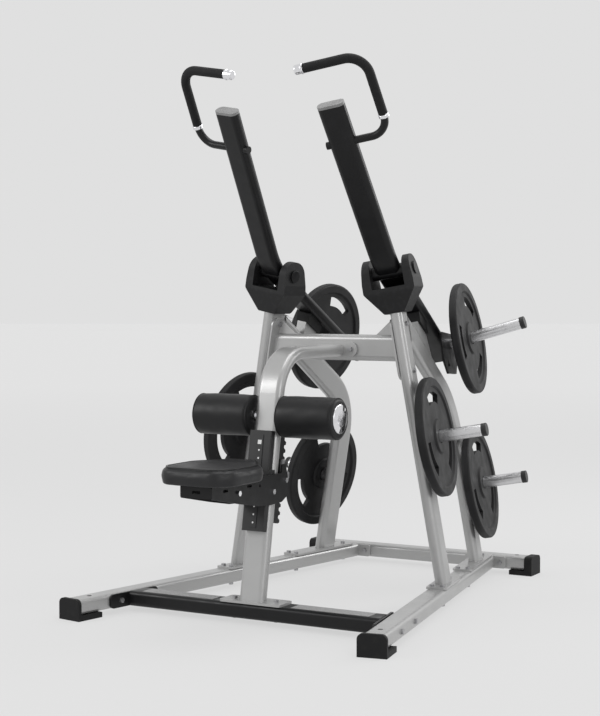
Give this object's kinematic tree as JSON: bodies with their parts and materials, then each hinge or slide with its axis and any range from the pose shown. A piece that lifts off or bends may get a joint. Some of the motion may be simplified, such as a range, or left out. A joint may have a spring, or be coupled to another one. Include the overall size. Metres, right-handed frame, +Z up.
{
  "type": "lat pulldown machine",
  "caption": "Plate-loaded lat pulldown machine with two pivoting arms, an adjustable seat, foam thigh rollers and weight plates on horns.",
  "frame": {"origin": "middle of the footprint on the floor", "axes": "+X to the right-hand side, +Y to the rear, +Z up"},
  "size_m": [1.3098, 1.883, 1.9955],
  "materials": {
    "silver_frame": "satin silver powder coat",
    "black_frame": "satin black powder coat",
    "chrome": "polished",
    "zinc": "zinc plated",
    "foot_rubber": "matte rubber",
    "plate_rubber": "rubber coated iron",
    "grip_rubber": "textured rubber",
    "foam": "black vinyl over foam",
    "seat_vinyl": "black vinyl",
    "black_plastic": "satin plastic",
    "grey_plastic": "light grey plastic",
    "white_strip": "printed strip"
  },
  "bodies": {
    "frame": {"adjust_rack": "zinc", "anti_slip_strips": "zinc", "base_bar_front": "black_frame", "base_bar_rear": "silver_frame", "base_rail_left": "silver_frame", "base_rail_right": "silver_frame", "bumper_blocks": "foot_rubber", "bumper_brackets": "silver_frame", "column": "silver_frame", "column_base_plate": "silver_frame", "column_flange": "silver_frame", "crossbar": "silver_frame", "crossbar_flanges": "silver_frame", "foot_caps_front": "foot_rubber", "foot_caps_rear": "foot_rubber", "foot_plates": "silver_frame", "frame_fasteners": "zinc", "front_bar_flanges": "black_frame", "guide_channel": "black_plastic", "pivot_shafts": "black_frame", "position_strip": "white_strip", "rear_bar_flanges": "silver_frame", "roller_axle": "chrome", "storage_horns": "chrome", "upright_front_left": "silver_frame", "upright_front_right": "silver_frame", "upright_rear_left": "silver_frame", "upright_rear_right": "silver_frame", "yoke_left": "black_frame", "yoke_right": "black_frame"},
    "arm_right": {"arm_tube_right": "black_frame", "arm_end_cap_right": "grey_plastic", "handle_bar_right": "black_frame", "grip_right": "grip_rubber", "grip_trim_right": "chrome", "tail_bracket_right": "black_frame", "load_horn_right": "chrome"},
    "arm_left": {"arm_tube_left": "black_frame", "arm_end_cap_left": "grey_plastic", "handle_bar_left": "black_frame", "grip_left": "grip_rubber", "grip_trim_left": "chrome", "tail_bracket_left": "black_frame", "load_horn_left": "chrome"},
    "seat_carriage": {"carriage_plates": "black_frame", "carriage_bracket": "black_frame", "slide_shoes": "black_plastic", "carriage_bolts": "zinc", "seat_pad": "seat_vinyl"},
    "seat_lever": {"seat_lever": "zinc"},
    "roller_right": {"roller_foam_right": "foam", "roller_disc_right": "chrome"},
    "plate_loaded_right_body": {"plate_loaded_right": "plate_rubber"},
    "plate_front_right_body": {"plate_front_right": "plate_rubber"},
    "plate_rear_right_body": {"plate_rear_right": "plate_rubber"},
    "roller_left": {"roller_foam_left": "foam", "roller_disc_left": "chrome"},
    "plate_loaded_left_body": {"plate_loaded_left": "plate_rubber"},
    "plate_front_left_body": {"plate_front_left": "plate_rubber"},
    "plate_rear_left_body": {"plate_rear_left": "plate_rubber"}
  },
  "joints": [
    {"name": "arm_right_pivot", "type": "hinge", "parent": "frame", "child": "arm_right", "pos_m": [0.24668, 0.06528, 1.24874], "axis": [0.9698, 0.171, 0.1736], "range_deg": [0, 45]},
    {"name": "roller_right_spin", "type": "hinge", "parent": "frame", "child": "roller_right", "pos_m": [0.1715, -0.4095, 0.729], "axis": [1, 0, 0], "continuous": true},
    {"name": "plate_loaded_right_slide", "type": "slide", "parent": "arm_right", "child": "plate_loaded_right_body", "axis": [0.9447, 0.1666, 0.2823], "range_m": [0, 0.2]},
    {"name": "plate_front_right_slide", "type": "slide", "parent": "frame", "child": "plate_front_right_body", "axis": [0.9698, 0.171, 0.1736], "range_m": [0, 0.16]},
    {"name": "plate_rear_right_slide", "type": "slide", "parent": "frame", "child": "plate_rear_right_body", "axis": [0.9698, 0.171, 0.1736], "range_m": [0, 0.16]},
    {"name": "arm_left_pivot", "type": "hinge", "parent": "frame", "child": "arm_left", "pos_m": [-0.24668, 0.06528, 1.24874], "axis": [0.9698, -0.171, -0.1736], "range_deg": [0, 45]},
    {"name": "roller_left_spin", "type": "hinge", "parent": "frame", "child": "roller_left", "pos_m": [-0.1715, -0.4095, 0.729], "axis": [1, 0, 0], "continuous": true},
    {"name": "plate_loaded_left_slide", "type": "slide", "parent": "arm_left", "child": "plate_loaded_left_body", "axis": [-0.9447, 0.1666, 0.2823], "range_m": [0, 0.2]},
    {"name": "plate_front_left_slide", "type": "slide", "parent": "frame", "child": "plate_front_left_body", "axis": [-0.9698, 0.171, 0.1736], "range_m": [0, 0.16]},
    {"name": "plate_rear_left_slide", "type": "slide", "parent": "frame", "child": "plate_rear_left_body", "axis": [-0.9698, 0.171, 0.1736], "range_m": [0, 0.16]},
    {"name": "seat_height", "type": "slide", "parent": "frame", "child": "seat_carriage", "axis": [0, 0.1736, 0.9848], "range_m": [-0.084, 0.056]},
    {"name": "seat_lever_turn", "type": "hinge", "parent": "seat_carriage", "child": "seat_lever", "pos_m": [0, -0.4025, 0.502], "axis": [-1, 0, 0], "range_deg": [0, 18], "stiffness_Nm_per_rad": 2, "springref_deg": -5.73}
  ]
}
